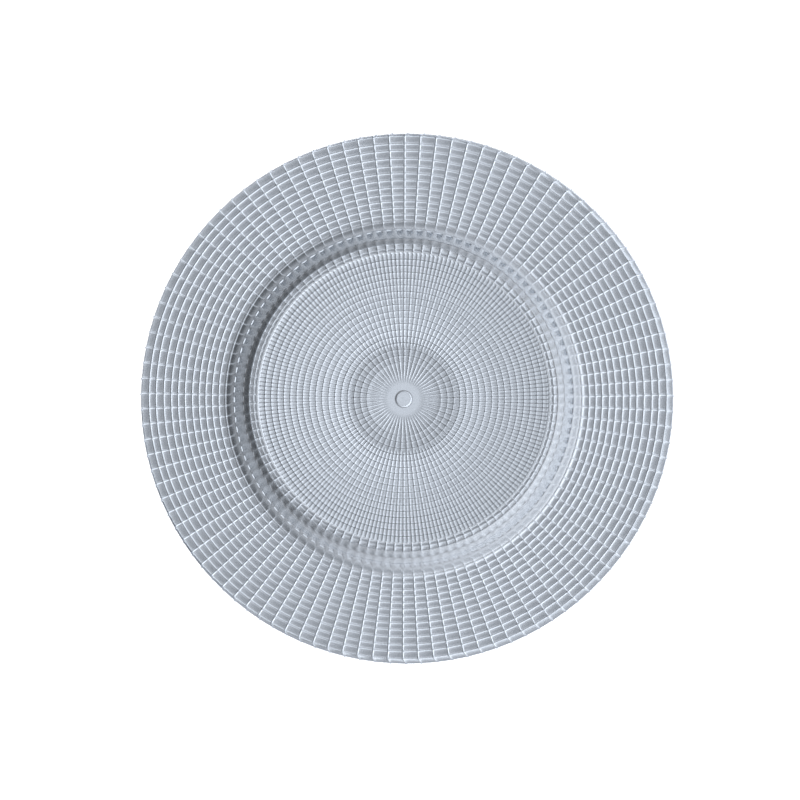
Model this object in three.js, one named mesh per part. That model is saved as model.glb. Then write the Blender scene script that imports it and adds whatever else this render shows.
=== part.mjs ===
// Glass charger plate: one pressing of clear glass with a wide rim, a steep wall and a flat well.
// The front is smooth. Fine ribs cross on the underside, which is sprayed with satin silver lacquer.
// Millimetres, +Z up. The origin is the centre of the circle that the plate stands on.

import * as THREE from 'three';

// Overall size
const PLATE_DIAMETER = 330;
const PLATE_HEIGHT = 22;

// Section of the glass
const GLASS_THICKNESS = 3.6;
const WELL_DIAMETER = 196;
const WALL_ANGLE = 50;
const RIM_SLOPE = 4.5;
const HEEL_RADIUS = 9;
const SHOULDER_RADIUS = 10;

// Rounded edge, which stands out a little at each rib
const EDGE_NOSE = 1.6;
const EDGE_SCALLOP = 0.5;

// Standing ring under the heel, bare of lacquer
const FOOT_HEIGHT = 1.6;
const FOOT_WIDTH = 1.2;
const FOOT_DRAFT = 0.5;
const FOOT_INSET = 0.4;

// Silver coat over the ribs
const COAT_SKIN = 0.35;
const COAT_GAP = 0.3;

// Rib lattice: radial ribs in pairs, crossed by ring ribs on the rim and wall
const SPOKE_COUNT = 53;
const RIB_COUNT = 2 * SPOKE_COUNT;
const RIB_HEIGHT = 0.65;
const EDGE_ROW = 2.6;
const ROW_PITCH = 4.25;
const HEEL_ROW = 2.2;
const HEEL_ROW_COUNT = 2;

// Middle of the well: every second rib ends, then the spokes fade round a low round mould mark
const SPLIT_RADIUS = 33;
const SPLIT_LENGTH = 3;
const SPOKE_START_RADIUS = 11.5;
const SPOKE_FADE = 4;
const MARK_RADIUS = 5.3;
const MARK_HEIGHT = 0.4;
const MARK_DRAFT = 0.4;

// Facets of the bends, and of the glass where the coat hides it
const BEND_STEPS = 3;
const HIDDEN_BEND_STEPS = 2;
const HIDDEN_SIDES = SPOKE_COUNT;

const FULL_TURN = 2 * Math.PI;

// Depths below the front surface, measured square to it
const UNDERSIDE = GLASS_THICKNESS;
const PIT = UNDERSIDE + COAT_SKIN;
const CREST = PIT + RIB_HEIGHT;

// The front's section as five spans from the axis to the edge: floor, heel, wall, shoulder and rim.
// A straight span has a length, a bend has a centre and a signed radius, and tilt is the angle to the level.
function frontSpans() {
  const wall = THREE.MathUtils.degToRad(WALL_ANGLE);
  const rim = THREE.MathUtils.degToRad(RIM_SLOPE);
  const floorHeight = FOOT_HEIGHT + GLASS_THICKNESS;
  const heelCorner = new THREE.Vector2(WELL_DIAMETER / 2, floorHeight);
  const edge = new THREE.Vector2(PLATE_DIAMETER / 2 - EDGE_NOSE, PLATE_HEIGHT);
  const rise = edge.y - heelCorner.y - (edge.x - heelCorner.x) * Math.tan(rim);
  const wallWidth = rise / (Math.tan(wall) - Math.tan(rim));
  const shoulderCorner = new THREE.Vector2(wallWidth, wallWidth * Math.tan(wall)).add(heelCorner);
  const heelTangent = HEEL_RADIUS * Math.tan(wall / 2);
  const shoulderTangent = SHOULDER_RADIUS * Math.tan((wall - rim) / 2);

  const floorEnd = new THREE.Vector2(heelCorner.x - heelTangent, floorHeight);
  const wallStart = along(heelCorner, wall, heelTangent);
  const wallEnd = along(shoulderCorner, wall, -shoulderTangent);
  const rimStart = along(shoulderCorner, rim, shoulderTangent);
  const heelCentre = new THREE.Vector2(floorEnd.x, floorHeight + HEEL_RADIUS);
  const shoulderCentre = along(rimStart, rim - Math.PI / 2, SHOULDER_RADIUS);
  return [
    straight(new THREE.Vector2(0, floorHeight), 0, floorEnd.x),
    bend(heelCentre, HEEL_RADIUS, 0, wall),
    straight(wallStart, wall, wallStart.distanceTo(wallEnd)),
    bend(shoulderCentre, -SHOULDER_RADIUS, wall, rim),
    straight(rimStart, rim, rimStart.distanceTo(edge)),
  ];
}

function along(from, angle, distance) {
  return new THREE.Vector2(Math.cos(angle), Math.sin(angle)).multiplyScalar(distance).add(from);
}

// A straight span: place gives the point at a share of it and a depth, and shareAt finds a radius on it
function straight(from, tilt, length) {
  const place = (share, depth) => sunk(along(from, tilt, share * length), tilt, depth);
  const shareAt = (radius, depth) => (radius - place(0, depth).x) / (length * Math.cos(tilt));
  return { isBend: false, place, shareAt };
}

// A bend's own radius grows with depth on the heel and shrinks with it on the shoulder
function bend(centre, bendRadius, fromTilt, toTilt) {
  const place = (share, depth) => {
    return sunk(centre, THREE.MathUtils.lerp(fromTilt, toTilt, share), bendRadius + depth);
  };
  const shareAt = (radius, depth) => {
    const tilt = Math.asin((radius - centre.x) / (bendRadius + depth));
    return THREE.MathUtils.inverseLerp(fromTilt, toTilt, tilt);
  };
  return { isBend: true, place, shareAt };
}

// The point at a depth square below a line of the given tilt
function sunk(point, tilt, depth) {
  return along(point, tilt - Math.PI / 2, depth);
}

const SPANS = frontSpans();
const FLOOR_RADIUS = SPANS[0].place(1, 0).x;

// Section points from the end of the flat floor to the edge at one depth, with the bends in steps
function sectionPoints(depth, bendSteps) {
  const points = [SPANS[0].place(1, depth)];
  for (const span of SPANS.slice(1)) {
    const steps = span.isBend ? bendSteps : 1;
    for (let step = 1; step <= steps; step += 1) {
      points.push(span.place(step / steps, depth));
    }
  }
  return points;
}

// The section point at one depth, square above or below the rib crest at a distance from the axis
function crestPoint(radius, depth) {
  const span = SPANS.find((candidate) => radius <= candidate.place(1, CREST).x) ?? SPANS.at(-1);
  return span.place(span.shareAt(radius, CREST), depth);
}

// A closed skin of rings about the Z axis, joined in order with the solid on the left of the section
class RingSkin {
  constructor() {
    this.positions = [];
    this.faces = [];
  }

  // A ring of points: place(index) gives their radius and height, and turn shifts it by a share of a step
  ring(count, place, turn = 0) {
    const start = this.positions.length / 3;
    for (let index = 0; index < count; index += 1) {
      const angle = (FULL_TURN * (index + turn)) / count;
      const point = place(index);
      this.positions.push(point.x * Math.cos(angle), point.x * Math.sin(angle), point.y);
    }
    return { start, count };
  }

  // A ring with all its points alike
  plainRing(count, point) {
    return this.ring(count, () => point);
  }

  pole(height) {
    return this.plainRing(1, new THREE.Vector2(0, height));
  }

  // Joins two rings, where one may have a whole multiple of the other's points
  join(first, second) {
    const steps = Math.max(first.count, second.count);
    const corner = (ring, step) => ring.start + (Math.floor((step * ring.count) / steps) % ring.count);
    for (let step = 0; step < steps; step += 1) {
      const [a, b] = [corner(first, step), corner(first, step + 1)];
      const [c, d] = [corner(second, step + 1), corner(second, step)];
      if (a !== b) this.faces.push(a, b, c);
      if (c !== d) this.faces.push(a, c, d);
    }
  }

  joinAll(rings) {
    rings.slice(1).forEach((ring, index) => this.join(rings[index], ring));
  }

  // Joins two rings by a row of pits, one between each pair of ribs, where the second may have extra points
  joinByPits(first, second, pits) {
    const extra = second.count / first.count;
    for (let cell = 0; cell < pits.count; cell += 1) {
      const next = (cell + 1) % pits.count;
      const loop = [first.start + cell, first.start + next];
      for (let step = extra; step >= 0; step -= 1) {
        loop.push(second.start + ((cell * extra + step) % second.count));
      }
      loop.forEach((corner, index) => {
        this.faces.push(corner, loop[(index + 1) % loop.length], pits.start + cell);
      });
    }
  }

  geometry() {
    const geometry = new THREE.BufferGeometry();
    geometry.setAttribute('position', new THREE.Float32BufferAttribute(this.positions, 3));
    geometry.setIndex(this.faces);
    geometry.computeVertexNormals();
    return geometry;
  }
}

// Standing ring: its top is as wide as its foot and both drafts, and the coat starts a little outside it
const FOOT_OUTER_TOP = FLOOR_RADIUS - FOOT_INSET - COAT_GAP;
const FOOT_INNER_TOP = FOOT_OUTER_TOP - FOOT_WIDTH - 2 * FOOT_DRAFT;

function glassPlate() {
  const skin = new RingSkin();
  const level = (radius, height) => skin.plainRing(RIB_COUNT, new THREE.Vector2(radius, height));
  const foot = [
    level(FOOT_INNER_TOP, FOOT_HEIGHT),
    level(FOOT_INNER_TOP + FOOT_DRAFT, 0),
    level(FOOT_OUTER_TOP - FOOT_DRAFT, 0),
    level(FOOT_OUTER_TOP, FOOT_HEIGHT),
  ];
  const back = sectionPoints(UNDERSIDE, HIDDEN_BEND_STEPS).map((point) => skin.plainRing(HIDDEN_SIDES, point));
  const front = sectionPoints(0, BEND_STEPS).map((point) => skin.plainRing(RIB_COUNT, point));
  skin.joinAll([
    skin.pole(FOOT_HEIGHT),
    ...foot,
    ...back,
    scallopedEdge(skin),
    ...front.reverse(),
    skin.pole(FOOT_HEIGHT + GLASS_THICKNESS),
  ]);
  return skin.geometry();
}

// The widest line of the edge: full size at each rib, drawn in halfway between ribs
function scallopedEdge(skin) {
  const height = PLATE_HEIGHT - GLASS_THICKNESS / 2;
  const radius = (index) => PLATE_DIAMETER / 2 - (index % 2) * EDGE_SCALLOP;
  return skin.ring(2 * RIB_COUNT, (index) => new THREE.Vector2(radius(index), height));
}

// Coat under the rim, wall and heel: its top lies on the glass, and each lattice cell has a pit underneath.
// Seen from above, the ring ribs are evenly spaced on the rim and wall and closer on the heel.
function silverCoatRim() {
  const skin = new RingSkin();
  const start = FOOT_OUTER_TOP + COAT_GAP;
  const end = SPANS.at(-1).place(1, CREST).x;
  const heelEnd = start + HEEL_ROW_COUNT * HEEL_ROW;
  const rowCount = Math.round((end - EDGE_ROW - heelEnd) / ROW_PITCH);
  const rowWidth = (end - EDGE_ROW - heelEnd) / rowCount;
  const ribRadii = [start];
  for (let row = 1; row <= HEEL_ROW_COUNT; row += 1) ribRadii.push(start + row * HEEL_ROW);
  for (let row = 1; row <= rowCount; row += 1) ribRadii.push(heelEnd + row * rowWidth);

  const ribs = ribRadii.map((radius) => skin.plainRing(RIB_COUNT, crestPoint(radius, CREST)));
  for (let row = 1; row < ribs.length; row += 1) {
    skin.joinByPits(ribs[row - 1], ribs[row], pitRing(skin, (ribRadii[row - 1] + ribRadii[row]) / 2));
  }
  const edge = skin.ring(2 * RIB_COUNT, (index) => crestPoint(end, index % 2 === 0 ? CREST : PIT));
  skin.joinByPits(ribs.at(-1), edge, pitRing(skin, end - EDGE_ROW / 2));

  const seat = sectionPoints(UNDERSIDE, HIDDEN_BEND_STEPS);
  seat.unshift(new THREE.Vector2(start, FOOT_HEIGHT));
  const seatRings = seat.map((point) => skin.plainRing(HIDDEN_SIDES, point));
  skin.joinAll([edge, ...seatRings.reverse(), ribs[0]]);
  return skin.geometry();
}

// The bottoms of one row of pits, halfway between the ribs and level with the flat between them
function pitRing(skin, radius) {
  const point = crestPoint(radius, PIT);
  point.x *= Math.cos(Math.PI / RIB_COUNT);
  return skin.ring(RIB_COUNT, () => point, 0.5);
}

// Coat under the well: smooth round the mark, then spokes, then a rib at every step out to the standing ring
function silverCoatWell() {
  const skin = new RingSkin();
  const pitHeight = FOOT_HEIGHT - COAT_SKIN;
  const crestHeight = pitHeight - RIB_HEIGHT;
  const outerRadius = FOOT_INNER_TOP - COAT_GAP;
  const flat = (radius, height) => skin.plainRing(SPOKE_COUNT, new THREE.Vector2(radius, height));
  const ribbed = (radius, ribs) => skin.ring(2 * ribs, (index) => {
    return new THREE.Vector2(radius, index % 2 === 0 ? crestHeight : pitHeight);
  });
  skin.joinAll([
    skin.pole(pitHeight - MARK_HEIGHT),
    flat(MARK_RADIUS, pitHeight - MARK_HEIGHT),
    flat(MARK_RADIUS + MARK_DRAFT, pitHeight),
    flat(SPOKE_START_RADIUS, pitHeight),
    ribbed(SPOKE_START_RADIUS + SPOKE_FADE, SPOKE_COUNT),
    ribbed(SPLIT_RADIUS, SPOKE_COUNT),
    ribbed(SPLIT_RADIUS + SPLIT_LENGTH, RIB_COUNT),
    ribbed(outerRadius, RIB_COUNT),
    skin.plainRing(RIB_COUNT, new THREE.Vector2(outerRadius, FOOT_HEIGHT)),
    skin.pole(FOOT_HEIGHT),
  ]);
  return skin.geometry();
}

const clearGlass = new THREE.MeshStandardMaterial({
  color: '#e4ebe9',
  roughness: 0.06,
  metalness: 0,
  transparent: true,
  opacity: 0.35,
});
const silverLacquer = new THREE.MeshStandardMaterial({ color: '#aeb4c0', roughness: 0.42, metalness: 0.85 });

function piece(name, geometry, material) {
  const mesh = new THREE.Mesh(geometry, material);
  mesh.name = name;
  return mesh;
}

const plate = new THREE.Group();
plate.add(piece('glass_plate', glassPlate(), clearGlass));
plate.add(piece('silver_coat_rim', silverCoatRim(), silverLacquer));
plate.add(piece('silver_coat_well', silverCoatWell(), silverLacquer.clone()));

export default plate;
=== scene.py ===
import bpy
import numpy as np
from mathutils import Matrix, Vector


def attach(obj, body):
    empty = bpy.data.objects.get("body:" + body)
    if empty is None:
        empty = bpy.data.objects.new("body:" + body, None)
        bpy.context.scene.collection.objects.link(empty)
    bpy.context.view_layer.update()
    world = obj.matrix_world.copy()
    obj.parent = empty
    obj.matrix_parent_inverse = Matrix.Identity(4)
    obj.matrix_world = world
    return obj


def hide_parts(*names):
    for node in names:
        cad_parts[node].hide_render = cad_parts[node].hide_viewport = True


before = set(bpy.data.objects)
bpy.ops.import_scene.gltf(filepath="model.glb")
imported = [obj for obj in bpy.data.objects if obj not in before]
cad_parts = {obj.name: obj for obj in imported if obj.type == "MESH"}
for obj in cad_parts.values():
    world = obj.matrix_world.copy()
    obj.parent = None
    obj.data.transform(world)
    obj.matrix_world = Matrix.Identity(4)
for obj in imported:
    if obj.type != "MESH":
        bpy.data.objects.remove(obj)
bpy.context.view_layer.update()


# Glass plate
# One pressing of clear soda-lime glass: a flat well, a steep wall, a wide rim and a scalloped edge.
# Its front is fire-polished. It stands on a narrow bare ring, and silver backs the rest of its underside.

# Sizes in millimetres. Depths are measured square to the front.
MM = 0.001
PLATE_RADIUS = 165.0
PLATE_HEIGHT = 22.0
FRONT_EDGE_RADIUS = 163.4
FLOOR_HEIGHT = 5.2
HEEL_CORNER_RADIUS = 98.0
HEEL_BEND = 9.0
SHOULDER_BEND = 10.0
WALL_TILT = np.radians(50)
RIM_TILT = np.radians(4.5)
GLASS_DEPTH = 3.9
CELL_COUNT = 106
FULL_TURN = 2 * np.pi
FOLD_ANGLE = np.radians(20)


def front_line(samples=6000):
    """Stations along the front from the axis to the edge, with the tilt, radius and height at each.

    The tilt is level on the floor, grows evenly round the heel, holds on the wall, falls evenly round the
    shoulder and holds on the rim. Radius and height are the running sums of its cosine and sine.
    """
    edge_run = FRONT_EDGE_RADIUS - HEEL_CORNER_RADIUS
    rise = PLATE_HEIGHT - FLOOR_HEIGHT - edge_run * np.tan(RIM_TILT)
    wall_run = rise / (np.tan(WALL_TILT) - np.tan(RIM_TILT))
    heel_tangent = HEEL_BEND * np.tan(WALL_TILT / 2)
    shoulder_tangent = SHOULDER_BEND * np.tan((WALL_TILT - RIM_TILT) / 2)
    spans = [
        HEEL_CORNER_RADIUS - heel_tangent,
        HEEL_BEND * WALL_TILT,
        wall_run / np.cos(WALL_TILT) - heel_tangent - shoulder_tangent,
        SHOULDER_BEND * (WALL_TILT - RIM_TILT),
        (edge_run - wall_run) / np.cos(RIM_TILT) - shoulder_tangent,
    ]
    ends = np.concatenate([[0], np.cumsum(spans)])
    station = np.linspace(0, ends[-1], samples)
    tilt = np.interp(station, ends, [0, 0, WALL_TILT, WALL_TILT, RIM_TILT, RIM_TILT])
    middle = (tilt[1:] + tilt[:-1]) / 2
    step = station[1]
    radius = np.concatenate([[0], np.cumsum(np.cos(middle) * step)])
    height = FLOOR_HEIGHT + np.concatenate([[0], np.cumsum(np.sin(middle) * step)])
    return ends, station, tilt, radius, height


SPAN_ENDS, FRONT_STATION, FRONT_TILT, FRONT_RADIUS, FRONT_HEIGHT = front_line()
FLOOR_END = SPAN_ENDS[1]
RIM_END = SPAN_ENDS[-1]


def section(station, depth):
    """Radius and height of points at a depth square below the front at the given stations."""
    tilt = np.interp(station, FRONT_STATION, FRONT_TILT)
    radius = np.interp(station, FRONT_STATION, FRONT_RADIUS) + depth * np.sin(tilt)
    height = np.interp(station, FRONT_STATION, FRONT_HEIGHT) - depth * np.cos(tilt)
    return radius, height


def turned(radius, height, angle):
    """Points in metres from their radius and height in millimetres and their angle about the axis."""
    radius, height, angle = np.broadcast_arrays(radius, height, angle)
    return np.stack([radius * np.cos(angle), radius * np.sin(angle), height], axis=-1) * MM


def cell_angles(share):
    """Angles about the axis of columns at the given shares of the way across a cell, for each cell in turn."""
    place = np.arange(CELL_COUNT)[:, None] + share[..., None, :]
    return place.reshape(*share.shape[:-1], -1) * FULL_TURN / CELL_COUNT


def closed_skin(name, points, groove=None):
    """A closed skin over rows of points that run round the axis, each joined to the next and to itself.

    Rows at the axis become one point. Without such rows the last row joins the first. Folds sharper than
    FOLD_ANGLE stay sharp, and all others are shaded smooth. A groove value at each point can go with it for the
    lacquer's painted light and shade: up to 1 of painted shade in a dark groove, and below 0 for a painted
    highlight along a light rib.
    """
    row_count, column_count = points.shape[:2]
    corner = np.arange(row_count * column_count).reshape(row_count, column_count)
    on_axis = np.all(np.abs(points[:, :, :2]) < 1e-9, axis=(1, 2))
    corner[on_axis] = corner[on_axis, :1]
    if on_axis.any():
        here, beyond = corner[:-1], corner[1:]
    else:
        here, beyond = corner, np.roll(corner, -1, axis=0)
    a, b = here, np.roll(here, -1, axis=1)
    d, c = beyond, np.roll(beyond, -1, axis=1)
    faces = np.concatenate([np.stack(side, axis=-1).reshape(-1, 3) for side in ([a, d, c], [a, c, b])])
    whole = (faces != np.roll(faces, 1, axis=1)).all(axis=1)
    used, faces = np.unique(faces[whole], return_inverse=True)

    mesh = bpy.data.meshes.new(name)
    mesh.from_pydata(points.reshape(-1, 3)[used].tolist(), [], faces.reshape(-1, 3).tolist())
    mesh.shade_smooth()
    mesh.set_sharp_from_angle(angle=FOLD_ANGLE)
    if groove is not None:
        mesh.attributes.new("groove", "FLOAT", "POINT").data.foreach_set("value", groove.ravel()[used])
    piece = bpy.data.objects.new(name, mesh)
    bpy.context.collection.objects.link(piece)
    return piece


# Standing ring, whose flanks are drawn in a little down to its rounded toe
FOOT_RADIUS = 92.0
FOOT_HALF_WIDTH = 0.6
FOOT_DRAFT = 0.5
FOOT_TOE_DRAFT = 0.05
FOOT_ROUNDING = 0.15

# Edge, which stands out in a knob at each rib and lies a little off the ribs' own axis
KNOB_REACH = 0.7
KNOB_SHARE = 0.11
EDGE_SHIFT = np.array([2.1, -1.0, 0])
EDGE_SHARES = np.array([0, 0.045, 0.09, 0.12, 0.3, 0.5, 0.7, 0.88, 0.91, 0.955])

# Rows of points on each span of the front, from the floor to the rim, and round the edge
SPAN_ROWS = [8, 9, 3, 9, 6]
EDGE_ROW_COUNT = 10


def edge_rows(turn, share, deepest, gap):
    """Rows round the edge, at turns of half an ellipse from the front's end down to the given depth.

    The ellipse reaches to the plate's radius, less a gap, at each rib. Between ribs it falls short by the knobs'
    reach, and a knob's outline is a squared cosine of the share of the way across a cell.
    """
    middle = GLASS_DEPTH / 2
    from_rib = np.minimum(share, 1 - share)
    knob = np.cos(np.minimum(from_rib / KNOB_SHARE, 1) * np.pi / 2) ** 2
    reach = PLATE_RADIUS - gap - KNOB_REACH * (1 - knob) - section(RIM_END, middle)[0]
    depth = middle - np.where(np.cos(turn) < 0, deepest - middle, middle) * np.cos(turn)
    radius, height = section(RIM_END, depth[:, None])
    points = turned(radius + np.sin(turn)[:, None] * np.tile(reach, CELL_COUNT), height, cell_angles(share))
    return points + EDGE_SHIFT * MM


def glass_points():
    """Rows of the whole glass: front, edge, back and standing ring, from pole to pole."""
    angle = cell_angles(EDGE_SHARES)
    spans = zip(SPAN_ENDS[:-1], SPAN_ENDS[1:], SPAN_ROWS)
    front = np.unique(np.concatenate([np.linspace(start, end, rows) for start, end, rows in spans]))[:-1]
    back = front[front >= FLOOR_END][::-1]
    back_height = FLOOR_HEIGHT - GLASS_DEPTH
    half_ring = np.array([
        [FOOT_HALF_WIDTH + FOOT_DRAFT, back_height],
        [FOOT_HALF_WIDTH + FOOT_TOE_DRAFT, FOOT_ROUNDING],
        [FOOT_HALF_WIDTH - FOOT_ROUNDING, 0],
    ])
    ring = np.concatenate([half_ring, half_ring[::-1] * [-1, 1]])
    return np.concatenate([
        turned(*[side[:, None] for side in section(front, 0)], angle),
        edge_rows(np.linspace(0, np.pi, EDGE_ROW_COUNT), EDGE_SHARES, GLASS_DEPTH, 0),
        turned(*[side[:, None] for side in section(back, GLASS_DEPTH)], angle),
        turned(FOOT_RADIUS + ring[:, :1], ring[:, 1:], angle),
        turned(np.zeros((1, 1)), back_height, angle),
    ])


def linear(hex_colour):
    """An sRGB hex colour as linear red, green, blue and full alpha."""
    srgb = np.array([int(hex_colour[start:start + 2], 16) for start in (1, 3, 5)]) / 255
    return (*np.where(srgb <= 0.04045, srgb / 12.92, ((srgb + 0.055) / 1.055) ** 2.4), 1.0)


def add_node(tree, kind, settings=None, links=None):
    """Adds a node. Settings go to its input of that name or number, or else to its property of that name."""
    node = tree.nodes.new("ShaderNode" + kind)
    for key, value in (settings or {}).items():
        if isinstance(key, str) and key not in node.inputs:
            setattr(node, key, value)
        else:
            node.inputs[key].default_value = value
    for key, socket in (links or {}).items():
        tree.links.new(socket, node.inputs[key])
    return node


def level_ramp(tree, levels, socket):
    """A ramp that turns the socket's value into grey levels, from pairs of position and level.

    The positions come first, because elements change their order as they are moved.
    """
    node = add_node(tree, "ValToRGB", {}, {"Fac": socket})
    for _ in levels[2:]:
        node.color_ramp.elements.new(0.5)
    for element, (position, _) in zip(node.color_ramp.elements, levels):
        element.position = position
    for element, (_, level) in zip(node.color_ramp.elements, levels):
        element.color = (level, level, level, 1)
    return node.outputs["Color"]


def new_material(name):
    """An empty node material and its tree."""
    material = bpy.data.materials.new(name)
    material.use_nodes = True
    material.node_tree.nodes.clear()
    return material, material.node_tree


# Soda-lime glass, pressed and fire-polished: clear, with a sharp gloss that the flame has left faintly wavy
clear_glass, tree = new_material("clear_soda_lime_glass")
WAVE_LENGTH = 16.0
WAVE_DEPTH = 0.02
place = add_node(tree, "TexCoord")
waves = add_node(
    tree, "TexNoise", {"Scale": 1 / (WAVE_LENGTH * MM), "Detail": 1.0}, {"Vector": place.outputs["Object"]}
)
polish = add_node(
    tree, "Bump", {"Strength": 1.0, "Distance": WAVE_DEPTH * MM}, {"Height": waves.outputs["Fac"]}
)
glass = add_node(
    tree,
    "BsdfPrincipled",
    {
        "Base Color": linear("#ffffff"),
        "Roughness": 0.02,
        "IOR": 1.52,
        "Transmission Weight": 1.0,
    },
    {"Normal": polish.outputs["Normal"]},
)
# What is seen through the glass is bent by it, but light on its way to and from the silver goes straight through
ray = add_node(tree, "LightPath")
goes_straight = add_node(
    tree,
    "Math",
    {"operation": "MAXIMUM"},
    {0: ray.outputs["Is Shadow Ray"], 1: ray.outputs["Is Reflection Ray"]},
)
clear_way = add_node(tree, "BsdfTransparent")
surface = add_node(
    tree,
    "MixShader",
    {},
    {0: goes_straight.outputs["Value"], 1: glass.outputs["BSDF"], 2: clear_way.outputs["BSDF"]},
)
add_node(tree, "OutputMaterial", {}, {"Surface": surface.outputs["Shader"]})

glass_plate = closed_skin("glass_plate_pressing", glass_points())
glass_plate.data.materials.append(clear_glass)
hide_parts("glass_plate")
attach(glass_plate, "root")


# Silver coat under the rim, wall and heel
# Satin silver lacquer sprayed on the ribbed underside, outside the standing ring and down its flank.
# From the front it shows through the glass as small crowned pillows, with a rounded rib between each pair.

# Depths of the coat's two sides at the crown of a pillow, and how much deeper the grooves between pillows lie.
# A groove in the face is a rib on the back. Pillows narrower than the full width are lower, and a ring rib's flank
# takes up at most the given share of one.
COAT_FACE = 2.75
COAT_BACK = 3.98
PILLOW_CROWN = 0.17
RING_RELIEF = 0.19
RING_FLANK = 0.8
RING_FLANK_SHARE = 0.3
RING_FULL_WIDTH = 4.0
RIB_RELIEF = 0.3
RIB_FLANK = 0.85
BACK_RELIEF = 0.85

# Ring ribs, by their radius at the crest of the ribs on the back
CREST_DEPTH = 4.6
RING_RADII = np.array([
    92.6, 94.5, 97.8, 102.8, 108.1, 111.4, 114.9, 119.0, 123.0,
    127.1, 131.2, 135.6, 139.8, 144.0, 148.5, 153.3, 157.5, 162.4,
])

# On the steep wall the ring ribs and radial ribs fade, and each pillow rises outward to a ledge between two ribs.
# The shares are how much of the ledge's lift each of a cell's five columns of points has.
LEDGE_RADII = [94.5, 97.8, 102.8, 108.1, 111.4]
LEDGE_LIFTS = [0, 0.12, 0.36, 0.72, 0]
LEDGE_SHARES = np.array([0, 0.1, 1, 1, 0.1])
LEDGE_FLANK = 0.48
LEDGE_GAP = 2.0
WALL_RADII = [97.8, 99.8, 108.2, 110.0]
WALL_RIBS = 0.12

# The coat ends round the edge: short of the glass on its face, and just proud of it on its back. One more row lies
# between the last ring rib and the edge.
EDGE_TURNS = np.array([0.8, 0.65, 0.5]) * np.pi
FACE_GAP = 0.3
BACK_GAP = -0.05
OUTER_ROW_SHARE = 0.4


def crown(share):
    """How far a pillow has sunk towards its grooves, at shares of the way across it: a parabola from 1 to 0 to 1."""
    return (2 * (share % 1) - 1) ** 2


def shoulder(share, flank):
    """The same for a pillow that is level but for a flank at each side, which falls as a parabola to the groove."""
    return np.clip(1 - np.minimum(share, 1 - share) / flank, 0, 1) ** 2


def stations_of(crest_radius):
    """Stations of the front that lie square above the given radii on the rib crests."""
    return np.interp(crest_radius, FRONT_RADIUS + CREST_DEPTH * np.sin(FRONT_TILT), FRONT_STATION)


def wall_share(stations):
    """How much of the wall's own form the lattice has at each station: all on the wall, none beyond its bends."""
    return np.interp(stations, stations_of(WALL_RADII), [0, 1, 1, 0])


def cell_shares(flank):
    """Places of the five columns of points in a cell: the rib, and the two flanks beside it."""
    return np.stack([0 * flank, flank / 2, flank, 1 - flank, 1 - flank / 2], axis=-1)


def rim_side(stations, ring_sunk, lift, depth, relief):
    """Rows of one side of the coat.

    The depth grows by what the ring ribs' shape gives and by the radial ribs' shoulders times their relief. It
    shrinks by the ledges' lift, which fades to nothing at the radial ribs.
    """
    pitch = FULL_TURN * section(stations, depth)[0] / CELL_COUNT
    flank = (RIB_FLANK + (LEDGE_GAP - RIB_FLANK) * wall_share(stations)) / pitch
    share = cell_shares(flank)
    rib_relief = RIB_RELIEF * (1 - (1 - WALL_RIBS) * wall_share(stations))
    ribs = rib_relief[:, None] * shoulder(share, flank[:, None])
    ledges = lift[:, None] * LEDGE_SHARES
    sunk = ring_sunk[:, None] + np.tile(ribs - ledges, CELL_COUNT)
    return turned(*section(stations[:, None], depth + relief * sunk), cell_angles(share))


def plain_rows(profile, angle):
    """Rows of points all alike round the axis, from a profile of radii and heights."""
    return turned(profile[:, :1], profile[:, 1:], angle)


# The lacquer's lap down the flank of the standing ring, to a bare hair line in the middle of its foot. The face
# runs on above the ring with its ribs, since no line of it shows in the photograph but a faint one.
LAP_FACE = np.array([92.06, 92.3])
LAP_SUNK = np.array([0.15, 0.2])
LAP_BACK = np.array([[92.18, 0.05], [92.45, 0.05], [92.7, 0.1], [93.2, 1.3]])
LAP_END = 93.4

ring_stations = stations_of(RING_RADII)
ring_width = np.diff(ring_stations)[:, None]
wall = wall_share(ring_stations)[:, None]
ring_flank = np.minimum((RING_FLANK + (LEDGE_FLANK - RING_FLANK) * wall[1:]) / ring_width, RING_FLANK_SHARE)
ring_share = np.hstack([
    0 * ring_flank, ring_flank / 2, ring_flank, 0 * ring_flank + 0.5, 1 - ring_flank, 1 - ring_flank / 2
])
rim_stations = np.append((ring_stations[:-1, None] + ring_share * ring_width).ravel(), ring_stations[-1])
narrowness = np.minimum(ring_width / RING_FULL_WIDTH, 1)
ring_sunk = narrowness ** 2 * PILLOW_CROWN * crown(ring_share)
ring_sunk += narrowness * RING_RELIEF * shoulder(ring_share, ring_flank)
ring_sunk = np.append(ring_sunk.ravel(), PILLOW_CROWN + RING_RELIEF) * (1 - wall_share(rim_stations))
ledge_rise = np.minimum(ring_share / (1 - ring_flank), (1 - ring_share) / ring_flank)
ring_lift = np.append((np.interp(RING_RADII[1:], LEDGE_RADII, LEDGE_LIFTS)[:, None] * ledge_rise).ravel(), 0)
back_rows = np.arange(len(rim_stations))[::-2]
back_rows = back_rows[rim_stations[back_rows] > LAP_END]
edge_share = cell_shares(np.array(RIB_FLANK * CELL_COUNT / (FULL_TURN * PLATE_RADIUS)))
face_edge = edge_rows(EDGE_TURNS, edge_share, COAT_FACE, FACE_GAP)
last_crown = rim_side(rim_stations[-1:], np.zeros(1), np.zeros(1), COAT_FACE, 1.0)
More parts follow.
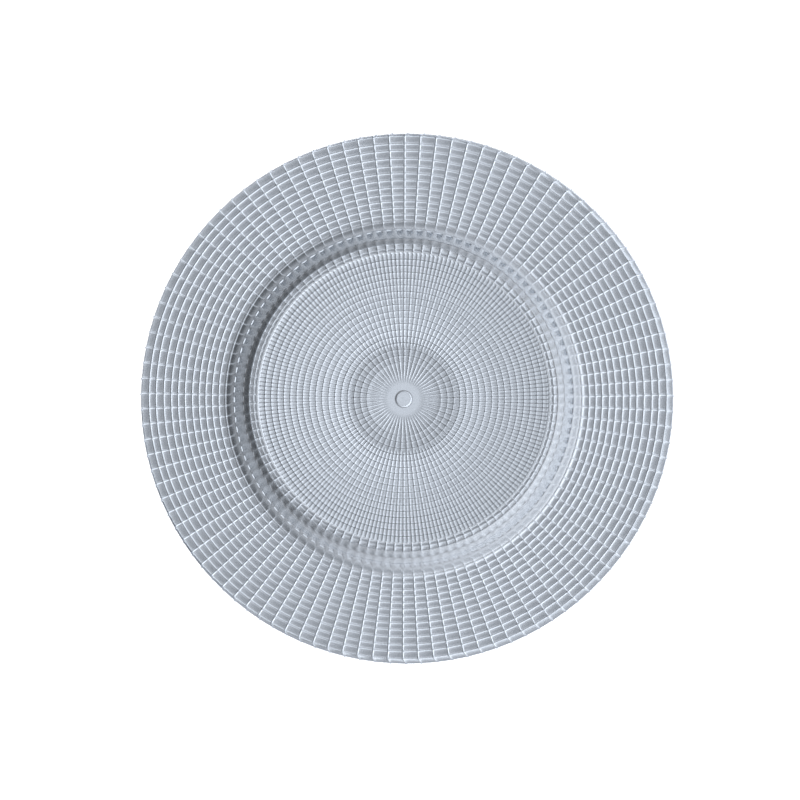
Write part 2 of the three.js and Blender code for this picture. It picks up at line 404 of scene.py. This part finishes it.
rim_points = np.concatenate([
    rim_side(LAP_FACE, LAP_SUNK, 0 * LAP_SUNK, COAT_FACE, 1.0),
    rim_side(rim_stations, ring_sunk, ring_lift, COAT_FACE, 1.0),
    (1 - OUTER_ROW_SHARE) * last_crown + OUTER_ROW_SHARE * face_edge[:1],
    face_edge,
    edge_rows(EDGE_TURNS[::-1], edge_share, COAT_BACK, BACK_GAP),
    rim_side(rim_stations[back_rows], ring_sunk[back_rows], 0 * ring_sunk[back_rows], COAT_BACK, BACK_RELIEF),
    plain_rows(LAP_BACK[::-1], cell_angles(edge_share)),
])

# Satin silver lacquer: aluminium flake in a clear binder, sprayed on, which gives a soft metallic sheen with a fine
# grain. The flake is too fine to show at its real size of about 0.05 mm, so it is drawn coarser.
silver_lacquer, tree = new_material("satin_silver_lacquer")
FLAKE_SIZE = 0.8
FLAKE_DEPTH = 0.02
place = add_node(tree, "TexCoord")
flakes = add_node(
    tree, "TexNoise", {"Scale": 1 / (FLAKE_SIZE * MM), "Detail": 2.0}, {"Vector": place.outputs["Object"]}
)
tone = add_node(
    tree,
    "Mix",
    {"data_type": "RGBA", 6: linear("#a6adb5"), 7: linear("#bdc4cb")},
    {0: flakes.outputs["Fac"]},
)
# Painted light and shade in the coat's colour at shares of the plate's radius: most painted light on the smooth disc
# in the middle, most painted shade at the heel
COAT_LEVELS = [
    (0, 1.6), (0.057, 1.6), (0.08, 1.1), (0.19, 1.1), (0.26, 1.38),
    (0.54, 1.38), (0.56, 0.76), (0.62, 0.83), (0.67, 0.87), (0.72, 0.95),
]
flat_place = add_node(tree, "VectorMath", {"operation": "MULTIPLY", 1: (1, 1, 0)}, {0: place.outputs["Object"]})
from_axis = add_node(tree, "VectorMath", {"operation": "LENGTH"}, {0: flat_place.outputs["Vector"]})
radius_share = add_node(
    tree, "Math", {"operation": "DIVIDE", 1: PLATE_RADIUS * MM}, {0: from_axis.outputs["Value"]}
)
painted_light_by_radius = level_ramp(tree, COAT_LEVELS, radius_share.outputs["Value"])
# Painted shade darkens the coat in the well's grooves, and a painted highlight lightens it along the rim's ribs
PAINTED_GROOVE_SHADE = 0.75
groove = add_node(tree, "Attribute", {"attribute_name": "groove"})
painted_shade_level = add_node(
    tree, "Math", {"operation": "MULTIPLY_ADD", 1: -PAINTED_GROOVE_SHADE, 2: 1.0}, {0: groove.outputs["Fac"]}
)
painted_coat_level = add_node(tree, "Math", {"operation": "MULTIPLY"}, {0: painted_light_by_radius, 1: painted_shade_level.outputs["Value"]})
# The flake's tone, times the painted light and shade by radius and the painted shade or highlight of grooves and
# ribs
painted_light_tone = add_node(
    tree, "VectorMath", {"operation": "SCALE"}, {0: tone.outputs[2], "Scale": painted_coat_level.outputs["Value"]}
)
grain = add_node(
    tree, "Bump", {"Strength": 0.25, "Distance": FLAKE_DEPTH * MM}, {"Height": flakes.outputs["Fac"]}
)
lacquer = add_node(
    tree,
    "BsdfPrincipled",
    {"Metallic": 0.85, "Roughness": 0.18},
    {"Base Color": painted_light_tone.outputs["Vector"], "Normal": grain.outputs["Normal"]},
)
add_node(tree, "OutputMaterial", {}, {"Surface": lacquer.outputs["BSDF"]})

# Groove values of a cell's five columns of points: a painted highlight that makes the radial ribs lighter everywhere
# but on the wall
RIB_PAINTED_HIGHLIGHT = np.array([-0.3, -0.14, 0, 0, -0.14])
face_stations = np.append(stations_of(LAP_FACE), rim_stations)
rim_painted_light = np.zeros(rim_points.shape[:2])
rim_painted_light[:len(face_stations)] = np.tile(RIB_PAINTED_HIGHLIGHT, CELL_COUNT) * (1 - wall_share(face_stations))[:, None]
coat_rim = closed_skin("silver_coat_under_rim", rim_points, rim_painted_light)
coat_rim.data.materials.append(silver_lacquer)
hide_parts("silver_coat_rim")
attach(coat_rim, "root")


# Silver coat under the well
# The same lacquer inside the standing ring, on the well's finer lattice and down the ring's inner flank.
# The ribs grow fewer towards the middle, where the spokes fade to a smooth disc round a low mould mark.

WELL_START = 10.5
WELL_END = 90.6
WELL_RING_PITCH = 4.01
WELL_RING_COUNT = 17
WELL_OUTER_RING = 87.5
WELL_RING_FLANK = 0.6
WELL_RING_RELIEF = 0.26
WELL_RIB_RELIEF = 0.22
SPOKE_COUNT = CELL_COUNT // 2
SPOKE_ROWS = 8
SPOKE_FADE = 6.0
POINTS_PER_SPOKE = 12
SPLIT_RADIUS = 33.0
SPLIT_LENGTH = 1.5
FINE_RIB_START = 42.0
FINE_RIB_FULL = 78.0

# How much painted shade the grooves get: the rings' from the middle outward, and the radial ribs' by how far they
# have sunk
RING_SHADES = 0.3, 0.7
RIB_SHADE_GAIN = 1.5
RIB_SHADE_START = 0.4

# Rows of the smooth disc: their radii, how deep each is sunk in the mould mark, and how much painted shade it gets
DISC_RADII = np.array([0, 3.9, 4.5, 5.3, 5.9, 9.5])
DISC_SUNK = np.array([0.35, 0.35, 0.35, 0, 0, 0])
DISC_PAINTED_SHADE = np.array([0, 0, 0.2, 0.8, 0, 0])

well_rings = np.append(WELL_OUTER_RING - WELL_RING_PITCH * np.arange(WELL_RING_COUNT)[::-1], WELL_END)
ring_width = np.diff(well_rings)[:, None]
ring_flank = WELL_RING_FLANK / ring_width
ring_share = np.hstack([0 * ring_flank, ring_flank / 2, ring_flank, 1 - ring_flank, 1 - ring_flank / 2])
well_stations = np.concatenate([
    np.linspace(WELL_START, well_rings[0], SPOKE_ROWS + 1)[:-1],
    (well_rings[:-1, None] + ring_share * ring_width).ravel(),
    [WELL_END],
])
well_levels = np.zeros(len(well_stations))
well_levels[SPOKE_ROWS:-1] = shoulder(ring_share, ring_flank).ravel()
spoke_place = np.arange(POINTS_PER_SPOKE * SPOKE_COUNT) / POINTS_PER_SPOKE
well_angles = spoke_place * FULL_TURN / SPOKE_COUNT


def well_side(stations, ring_level, depth, relief):
    """Rows of one side of the coat in the well, and how far each point lies in a groove.

    The depth grows by the ring ribs' level and by the radial ribs' crowns, each times its relief. The spokes'
    pillows give way to pillows half as wide at the split, and these by degrees to ones half as wide again.
    """
    spokes = np.clip((stations - WELL_START) / SPOKE_FADE, 0, 1)[:, None]
    split = np.clip((stations - SPLIT_RADIUS) / SPLIT_LENGTH, 0, 1)[:, None]
    fine = np.clip((stations - FINE_RIB_START) / (FINE_RIB_FULL - FINE_RIB_START), 0, 1)[:, None]
    halves = (1 - fine) * crown(2 * spoke_place) + fine * crown(4 * spoke_place)
    ribs = spokes * ((1 - split) * crown(spoke_place) + split * halves)
    sunk = WELL_RING_RELIEF * ring_level[:, None] + WELL_RIB_RELIEF * ribs
    # The groove value returned is painted shade along the ring grooves and in the radial ribs' grooves
    ring_shade = np.clip((stations - WELL_START) / (FINE_RIB_START - WELL_START), *RING_SHADES)
    rib_shade = np.clip(RIB_SHADE_GAIN * ribs - RIB_SHADE_START, 0, 1)
    groove = np.maximum((ring_shade * ring_level)[:, None], rib_shade)
    return turned(*section(stations[:, None], depth + relief * sunk), well_angles), groove


def marked_disc(depth):
    """Rows of the smooth disc from the axis to the spokes, with the round mark sunk in its middle."""
    return plain_rows(np.stack(section(DISC_RADII, depth + DISC_SUNK), axis=-1), well_angles)


inner_lap = np.stack([2 * FOOT_RADIUS - LAP_BACK[:, 0], LAP_BACK[:, 1]], axis=-1)
back_rows = np.arange(len(well_stations))[::-2]
well_face, face_painted_shade = well_side(well_stations, well_levels, COAT_FACE, 1.0)
well_points = np.concatenate([
    marked_disc(COAT_FACE),
    well_face,
    well_side(2 * FOOT_RADIUS - LAP_FACE[::-1], LAP_SUNK[::-1] / WELL_RING_RELIEF, COAT_FACE, 1.0)[0],
    plain_rows(inner_lap, well_angles),
    well_side(well_stations[back_rows], well_levels[back_rows], COAT_BACK, BACK_RELIEF)[0],
    marked_disc(COAT_BACK)[::-1],
])
well_painted_shade = np.zeros(well_points.shape[:2])
well_painted_shade[:len(DISC_RADII)] = DISC_PAINTED_SHADE[:, None]
well_painted_shade[len(DISC_RADII):len(DISC_RADII) + len(well_stations)] = face_painted_shade
coat_well = closed_skin("silver_coat_under_well", well_points, well_painted_shade)
coat_well.data.materials.append(silver_lacquer)
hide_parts("silver_coat_well")
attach(coat_well, "root")


# Floor, light and camera
# A white table top, a soft sky that is lighter on the left than on the right, and a camera almost straight above.

# Sizes in metres
FLOOR_REACH = 3
SHADE_START = 0.150
SHADE_END = 0.163
floor_corners = [(x * FLOOR_REACH, y * FLOOR_REACH, 0) for x, y in ((-1, -1), (1, -1), (1, 1), (-1, 1))]
floor_mesh = bpy.data.meshes.new("pale_floor")
floor_mesh.from_pydata(floor_corners, [], [(0, 1, 2, 3)])
floor = bpy.data.objects.new("pale_floor", floor_mesh)
bpy.context.collection.objects.link(floor)

# White card that glows, with a painted shadow where the plate stands over it: its glow is lower there
white_floor, tree = new_material("white_floor")
CARD_GLOW = 0.9
SHADED_GLOW = 0.3
place = add_node(tree, "TexCoord")
from_axis = add_node(tree, "VectorMath", {"operation": "LENGTH"}, {0: place.outputs["Object"]})
glow = add_node(
    tree,
    "MapRange",
    {"From Min": SHADE_START, "From Max": SHADE_END, "To Min": SHADED_GLOW, "To Max": CARD_GLOW},
    {"Value": from_axis.outputs["Value"]},
)
paint = add_node(
    tree,
    "BsdfPrincipled",
    {
        "Base Color": linear("#f4f4f4"),
        "Roughness": 0.8,
        "Emission Color": linear("#ffffff"),
    },
    {"Emission Strength": glow.outputs["Result"]},
)
add_node(tree, "OutputMaterial", {}, {"Surface": paint.outputs["BSDF"]})
floor_mesh.materials.append(white_floor)

# The sky from level to straight overhead: how light it is, and how much lighter on the left than on the right.
# It has one soft light at the upper left and a dim patch on the right.
SKY_LEVELS = [
    (0, 1.4), (0.2, 1.35), (0.42, 0.75), (0.55, 0.72), (0.65, 0.94),
    (0.78, 1.69), (0.87, 1.72), (0.94, 1.12), (0.98, 0.69), (1, 0.65),
]
SKY_SLOPES = [(0, 0.4), (0.35, 0.5), (0.6, 1.1), (0.77, 1.25), (0.87, 0.85), (1, 0.8)]
SKY_AZIMUTH = np.radians(163)
LIGHT_STRENGTH = 0.45
LIGHT_SPREAD = 14.0
LIGHT_AZIMUTH = np.radians(138)
LIGHT_ELEVATION = np.radians(65)
DIM_STRENGTH = 0.35
DIM_SPREAD = 8.0
DIM_AZIMUTH = np.radians(-5)
DIM_ELEVATION = np.radians(50)


def sky_patch(tree, direction, azimuth, elevation, spread):
    """A soft round patch of the sky: the cosine of the angle from its middle, raised to its spread."""
    level, rise = np.cos(elevation), np.sin(elevation)
    facing = add_node(
        tree,
        "VectorMath",
        {"operation": "DOT_PRODUCT", 1: (level * np.cos(azimuth), level * np.sin(azimuth), rise)},
        {0: direction},
    )
    near_side = add_node(tree, "Math", {"operation": "MAXIMUM", 1: 0.0}, {0: facing.outputs["Value"]})
    patch = add_node(tree, "Math", {"operation": "POWER", 1: spread}, {0: near_side.outputs["Value"]})
    return patch.outputs["Value"]


world = bpy.data.worlds.new("soft_studio")
bpy.context.scene.world = world
world.use_nodes = True
tree = world.node_tree
tree.nodes.clear()
direction = add_node(tree, "TexCoord").outputs["Generated"]
parts = add_node(tree, "SeparateXYZ", {}, {"Vector": direction})
sky_level = level_ramp(tree, SKY_LEVELS, parts.outputs["Z"])
sky_slope = level_ramp(tree, SKY_SLOPES, parts.outputs["Z"])
side = add_node(
    tree,
    "VectorMath",
    {"operation": "DOT_PRODUCT", 1: (np.cos(SKY_AZIMUTH), np.sin(SKY_AZIMUTH), 0)},
    {0: direction},
)
side_level = add_node(
    tree, "Math", {"operation": "MULTIPLY_ADD", 2: 1.0}, {0: side.outputs["Value"], 1: sky_slope}
)
dimmed_level = add_node(
    tree,
    "Math",
    {"operation": "MULTIPLY_ADD", 1: -DIM_STRENGTH, 2: 1.0},
    {0: sky_patch(tree, direction, DIM_AZIMUTH, DIM_ELEVATION, DIM_SPREAD)},
)
light_level = add_node(
    tree,
    "Math",
    {"operation": "MULTIPLY", 1: LIGHT_STRENGTH},
    {0: sky_patch(tree, direction, LIGHT_AZIMUTH, LIGHT_ELEVATION, LIGHT_SPREAD)},
)
open_level = add_node(
    tree, "Math", {"operation": "MULTIPLY"}, {0: side_level.outputs["Value"], 1: dimmed_level.outputs["Value"]}
)
strength = add_node(
    tree,
    "Math",
    {"operation": "MULTIPLY_ADD"},
    {0: sky_level, 1: open_level.outputs["Value"], 2: light_level.outputs["Value"]},
)
sky = add_node(tree, "Background", {"Color": linear("#fafbff")}, {"Strength": strength.outputs["Value"]})
add_node(tree, "OutputWorld", {}, {"Surface": sky.outputs["Background"]})

# The photograph was taken from almost straight above, from the side that is at its top. Its frame is shifted by a
# few pixels.
PHOTO_WIDTH = 800
CAMERA_DISTANCE = 0.92
CAMERA_TILT = np.radians(5.4)
CAMERA_ROLL = np.radians(1.5)
CAMERA_LENS = 67.25
SHIFT_RIGHT = -3.7
SHIFT_UP = 1.8
camera_data = bpy.data.cameras.new("photo_camera")
camera = bpy.data.objects.new("photo_camera", camera_data)
bpy.context.collection.objects.link(camera)
upward = Vector((np.sin(CAMERA_ROLL), np.cos(CAMERA_ROLL), 0))
back = upward * np.sin(CAMERA_TILT) + Vector((0, 0, np.cos(CAMERA_TILT)))
right = upward.cross(back).normalized()
turn = Matrix((right, back.cross(right), back)).transposed().to_4x4()
target = Vector((0, 0, PLATE_HEIGHT * MM))
camera.matrix_world = Matrix.Translation(target + back * CAMERA_DISTANCE) @ turn
camera_data.lens = CAMERA_LENS
camera_data.shift_x = SHIFT_RIGHT / PHOTO_WIDTH
camera_data.shift_y = SHIFT_UP / PHOTO_WIDTH
bpy.context.scene.camera = camera
bpy.context.scene.view_settings.view_transform = "Standard"
